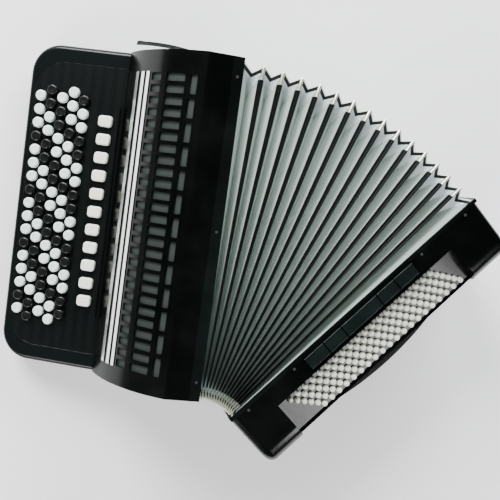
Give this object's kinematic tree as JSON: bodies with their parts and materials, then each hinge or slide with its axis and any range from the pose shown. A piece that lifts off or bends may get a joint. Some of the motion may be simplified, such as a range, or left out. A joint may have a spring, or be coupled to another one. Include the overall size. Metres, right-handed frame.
{
  "type": "button accordion",
  "caption": "Five-row chromatic button accordion with a fanned bellows, register switches, a slotted grille and a bass case with a sloping button board.",
  "frame": {"origin": "middle of the bounding box, on the surface the instrument lies on", "axes": "+Z front (grille) side, +X from the treble case to the bass case, +Y up the treble case"},
  "size_m": [0.6756, 0.5398, 0.1936],
  "materials": {
    "case_black": "polished celluloid",
    "board_black": "glossy",
    "grille_black": "gloss black",
    "mesh_grey": "woven",
    "chrome": "bright",
    "steel": "plain",
    "button_white": "polished",
    "wood": "plain",
    "felt": "felt",
    "leather_black": "smooth",
    "rubber_black": "matte",
    "bellows_cloth": "pressed card and cloth"
  },
  "bodies": {
    "folds_1": {"bellows_section_1": "bellows_cloth"},
    "folds_2": {"bellows_section_2": "bellows_cloth"},
    "folds_3": {"bellows_section_3": "bellows_cloth"},
    "folds_4": {"bellows_section_4": "bellows_cloth"},
    "folds_5": {"bellows_section_5": "bellows_cloth"},
    "treble_row_1": {"treble_row_1": "button_white"},
    "treble_row_2": {"treble_row_2": "button_white"},
    "treble_row_3": {"treble_row_3": "button_white"},
    "treble_row_4": {"treble_row_4": "button_white"},
    "treble_row_5": {"treble_row_5": "button_white"},
    "treble_register_1": {"treble_register_1": "button_white"},
    "treble_register_2": {"treble_register_2": "button_white"},
    "treble_register_3": {"treble_register_3": "button_white"},
    "treble_register_4": {"treble_register_4": "button_white"},
    "treble_register_5": {"treble_register_5": "button_white"},
    "treble_register_6": {"treble_register_6": "button_white"},
    "treble_register_7": {"treble_register_7": "button_white"},
    "treble_register_8": {"treble_register_8": "button_white"},
    "treble_register_9": {"treble_register_9": "button_white"},
    "treble_register_10": {"treble_register_10": "button_white"},
    "treble_register_11": {"treble_register_11": "button_white"},
    "bass_row_1": {"bass_row_1": "button_white"},
    "bass_row_2": {"bass_row_2": "button_white"},
    "bass_row_3": {"bass_row_3": "button_white"},
    "bass_row_4": {"bass_row_4": "button_white"},
    "bass_row_5": {"bass_row_5": "button_white"},
    "bass_row_6": {"bass_row_6": "button_white"},
    "bass_register_1": {"bass_register_1": "board_black"},
    "bass_register_2": {"bass_register_2": "board_black"},
    "bass_register_3": {"bass_register_3": "board_black"},
    "bass_register_4": {"bass_register_4": "board_black"},
    "bass_register_5": {"bass_register_5": "board_black"},
    "upper_strap": {"upper_strap": "leather_black"},
    "air_button": {"air_button": "button_white"},
    "strap_wheel": {"strap_wheel": "board_black"},
    "bass": {"bass_case": "case_black", "bass_bellows_frame": "case_black", "bass_button_board": "board_black", "bass_sound_board": "wood", "bass_reed_blocks": "wood", "bass_shafts": "steel", "bass_pins": "chrome", "bass_feet": "rubber_black", "bass_strap": "leather_black", "bass_snaps": "chrome"},
    "treble": {"treble_case": "case_black", "treble_bellows_frame": "case_black", "fingerboard": "board_black", "grille": "grille_black", "grille_mesh": "mesh_grey", "chrome_strips": "chrome", "mark_strip": "board_black", "treble_sound_board": "wood", "treble_reed_blocks": "wood", "treble_pallets": "felt", "treble_pins": "chrome", "strap_brackets": "chrome", "lower_strap": "leather_black", "treble_snaps": "chrome"}
  },
  "joints": [
    {"name": "bellows_fan", "type": "hinge", "parent": "treble", "child": "bass", "pos_m": [-0.04849, -0.193, 0.095], "axis": [0, 0, 1], "range_deg": [0, 42]},
    {"name": "folds_1_fan", "type": "hinge", "parent": "treble", "child": "folds_1", "pos_m": [-0.07002, -0.19003, 0.095], "axis": [0, 0, 1], "range_deg": [-0.1, 5], "deforming": ["bellows_section_1"]},
    {"name": "folds_2_fan", "type": "hinge", "parent": "treble", "child": "folds_2", "pos_m": [-0.06474, -0.19032, 0.095], "axis": [0, 0, 1], "range_deg": [-0.1, 14.1], "deforming": ["bellows_section_2"]},
    {"name": "folds_3_fan", "type": "hinge", "parent": "treble", "child": "folds_3", "pos_m": [-0.06067, -0.19074, 0.095], "axis": [0, 0, 1], "range_deg": [-0.1, 21.1], "deforming": ["bellows_section_3"]},
    {"name": "folds_4_fan", "type": "hinge", "parent": "treble", "child": "folds_4", "pos_m": [-0.05661, -0.19132, 0.095], "axis": [0, 0, 1], "range_deg": [-0.1, 28.1], "deforming": ["bellows_section_4"]},
    {"name": "folds_5_fan", "type": "hinge", "parent": "treble", "child": "folds_5", "pos_m": [-0.05133, -0.19233, 0.095], "axis": [0, 0, 1], "range_deg": [-0.1, 37.2], "deforming": ["bellows_section_5"]},
    {"name": "treble_row_1_press", "type": "slide", "parent": "treble", "child": "treble_row_1", "axis": [0.342, 0, -0.9397], "range_m": [0, 0.0035], "stiffness_N_per_m": 250, "springref_m": -0.004},
    {"name": "treble_row_2_press", "type": "slide", "parent": "treble", "child": "treble_row_2", "axis": [0.342, 0, -0.9397], "range_m": [0, 0.0035], "stiffness_N_per_m": 250, "springref_m": -0.004},
    {"name": "treble_row_3_press", "type": "slide", "parent": "treble", "child": "treble_row_3", "axis": [0.342, 0, -0.9397], "range_m": [0, 0.0035], "stiffness_N_per_m": 250, "springref_m": -0.004},
    {"name": "treble_row_4_press", "type": "slide", "parent": "treble", "child": "treble_row_4", "axis": [0.342, 0, -0.9397], "range_m": [0, 0.0035], "stiffness_N_per_m": 250, "springref_m": -0.004},
    {"name": "treble_row_5_press", "type": "slide", "parent": "treble", "child": "treble_row_5", "axis": [0.342, 0, -0.9397], "range_m": [0, 0.0035], "stiffness_N_per_m": 250, "springref_m": -0.004},
    {"name": "treble_register_1_press", "type": "hinge", "parent": "treble", "child": "treble_register_1", "pos_m": [-0.22223, -0.09268, 0.07431], "axis": [0, -1, 0], "range_deg": [0, 7], "stiffness_Nm_per_rad": 0.05, "springref_deg": -6.88},
    {"name": "treble_register_2_press", "type": "hinge", "parent": "treble", "child": "treble_register_2", "pos_m": [-0.22223, -0.06778, 0.07431], "axis": [0, -1, 0], "range_deg": [0, 7], "stiffness_Nm_per_rad": 0.05, "springref_deg": -6.88},
    {"name": "treble_register_3_press", "type": "hinge", "parent": "treble", "child": "treble_register_3", "pos_m": [-0.22223, -0.04288, 0.07431], "axis": [0, -1, 0], "range_deg": [0, 7], "stiffness_Nm_per_rad": 0.05, "springref_deg": -6.88},
    {"name": "treble_register_4_press", "type": "hinge", "parent": "treble", "child": "treble_register_4", "pos_m": [-0.22223, -0.01798, 0.07431], "axis": [0, -1, 0], "range_deg": [0, 7], "stiffness_Nm_per_rad": 0.05, "springref_deg": -6.88},
    {"name": "treble_register_5_press", "type": "hinge", "parent": "treble", "child": "treble_register_5", "pos_m": [-0.22223, 0.00692, 0.07431], "axis": [0, -1, 0], "range_deg": [0, 7], "stiffness_Nm_per_rad": 0.05, "springref_deg": -6.88},
    {"name": "treble_register_6_press", "type": "hinge", "parent": "treble", "child": "treble_register_6", "pos_m": [-0.22223, 0.03182, 0.07431], "axis": [0, -1, 0], "range_deg": [0, 7], "stiffness_Nm_per_rad": 0.05, "springref_deg": -6.88},
    {"name": "treble_register_7_press", "type": "hinge", "parent": "treble", "child": "treble_register_7", "pos_m": [-0.22223, 0.05672, 0.07431], "axis": [0, -1, 0], "range_deg": [0, 7], "stiffness_Nm_per_rad": 0.05, "springref_deg": -6.88},
    {"name": "treble_register_8_press", "type": "hinge", "parent": "treble", "child": "treble_register_8", "pos_m": [-0.22223, 0.08162, 0.07431], "axis": [0, -1, 0], "range_deg": [0, 7], "stiffness_Nm_per_rad": 0.05, "springref_deg": -6.88},
    {"name": "treble_register_9_press", "type": "hinge", "parent": "treble", "child": "treble_register_9", "pos_m": [-0.22223, 0.10652, 0.07431], "axis": [0, -1, 0], "range_deg": [0, 7], "stiffness_Nm_per_rad": 0.05, "springref_deg": -6.88},
    {"name": "treble_register_10_press", "type": "hinge", "parent": "treble", "child": "treble_register_10", "pos_m": [-0.22223, 0.13142, 0.07431], "axis": [0, -1, 0], "range_deg": [0, 7], "stiffness_Nm_per_rad": 0.05, "springref_deg": -6.88},
    {"name": "treble_register_11_press", "type": "hinge", "parent": "treble", "child": "treble_register_11", "pos_m": [-0.22223, 0.15632, 0.07431], "axis": [0, -1, 0], "range_deg": [0, 7], "stiffness_Nm_per_rad": 0.05, "springref_deg": -6.88},
    {"name": "bass_row_1_press", "type": "slide", "parent": "bass", "child": "bass_row_1", "axis": [-0.2403, 0.2163, -0.9463], "range_m": [0, 0.003], "stiffness_N_per_m": 200, "springref_m": -0.004},
    {"name": "bass_row_2_press", "type": "slide", "parent": "bass", "child": "bass_row_2", "axis": [-0.2403, 0.2163, -0.9463], "range_m": [0, 0.003], "stiffness_N_per_m": 200, "springref_m": -0.004},
    {"name": "bass_row_3_press", "type": "slide", "parent": "bass", "child": "bass_row_3", "axis": [-0.2403, 0.2163, -0.9463], "range_m": [0, 0.003], "stiffness_N_per_m": 200, "springref_m": -0.004},
    {"name": "bass_row_4_press", "type": "slide", "parent": "bass", "child": "bass_row_4", "axis": [-0.2403, 0.2163, -0.9463], "range_m": [0, 0.003], "stiffness_N_per_m": 200, "springref_m": -0.004},
    {"name": "bass_row_5_press", "type": "slide", "parent": "bass", "child": "bass_row_5", "axis": [-0.2403, 0.2163, -0.9463], "range_m": [0, 0.003], "stiffness_N_per_m": 200, "springref_m": -0.004},
    {"name": "bass_row_6_press", "type": "slide", "parent": "bass", "child": "bass_row_6", "axis": [-0.2403, 0.2163, -0.9463], "range_m": [0, 0.003], "stiffness_N_per_m": 200, "springref_m": -0.004},
    {"name": "bass_register_1_press", "type": "hinge", "parent": "bass", "child": "bass_register_1", "pos_m": [0.06952, -0.10882, 0.19], "axis": [0.6691, 0.7431, 0], "range_deg": [0, 6], "stiffness_Nm_per_rad": 0.05, "springref_deg": -6.88},
    {"name": "bass_register_2_press", "type": "hinge", "parent": "bass", "child": "bass_register_2", "pos_m": [0.09161, -0.0843, 0.19], "axis": [0.6691, 0.7431, 0], "range_deg": [0, 6], "stiffness_Nm_per_rad": 0.05, "springref_deg": -6.88},
    {"name": "bass_register_3_press", "type": "hinge", "parent": "bass", "child": "bass_register_3", "pos_m": [0.12359, -0.04878, 0.19], "axis": [0.6691, 0.7431, 0], "range_deg": [0, 6], "stiffness_Nm_per_rad": 0.05, "springref_deg": -6.88},
    {"name": "bass_register_4_press", "type": "hinge", "parent": "bass", "child": "bass_register_4", "pos_m": [0.15557, -0.01325, 0.19], "axis": [0.6691, 0.7431, 0], "range_deg": [0, 6], "stiffness_Nm_per_rad": 0.05, "springref_deg": -6.88},
    {"name": "bass_register_5_press", "type": "hinge", "parent": "bass", "child": "bass_register_5", "pos_m": [0.17766, 0.01127, 0.19], "axis": [0.6691, 0.7431, 0], "range_deg": [0, 6], "stiffness_Nm_per_rad": 0.05, "springref_deg": -6.88},
    {"name": "upper_strap_swing", "type": "hinge", "parent": "treble", "child": "upper_strap", "pos_m": [-0.08686, 0.25402, 0.095], "axis": [0, 0, -1], "range_deg": [0, 130]},
    {"name": "air_button_press", "type": "slide", "parent": "bass", "child": "air_button", "axis": [-0.7431, 0.6691, 0], "range_m": [0, 0.005], "stiffness_N_per_m": 300, "springref_m": -0.003},
    {"name": "strap_wheel_turn", "type": "hinge", "parent": "bass", "child": "strap_wheel", "pos_m": [0.32422, 0.07092, 0.074], "axis": [0.6691, 0.7431, 0], "continuous": true}
  ],
  "couplings": [
    {"joint": "folds_1_fan", "follows": "bellows_fan", "ratio": 0.11667},
    {"joint": "folds_2_fan", "follows": "bellows_fan", "ratio": 0.33333},
    {"joint": "folds_3_fan", "follows": "bellows_fan", "ratio": 0.5},
    {"joint": "folds_4_fan", "follows": "bellows_fan", "ratio": 0.66667},
    {"joint": "folds_5_fan", "follows": "bellows_fan", "ratio": 0.88333}
  ]
}
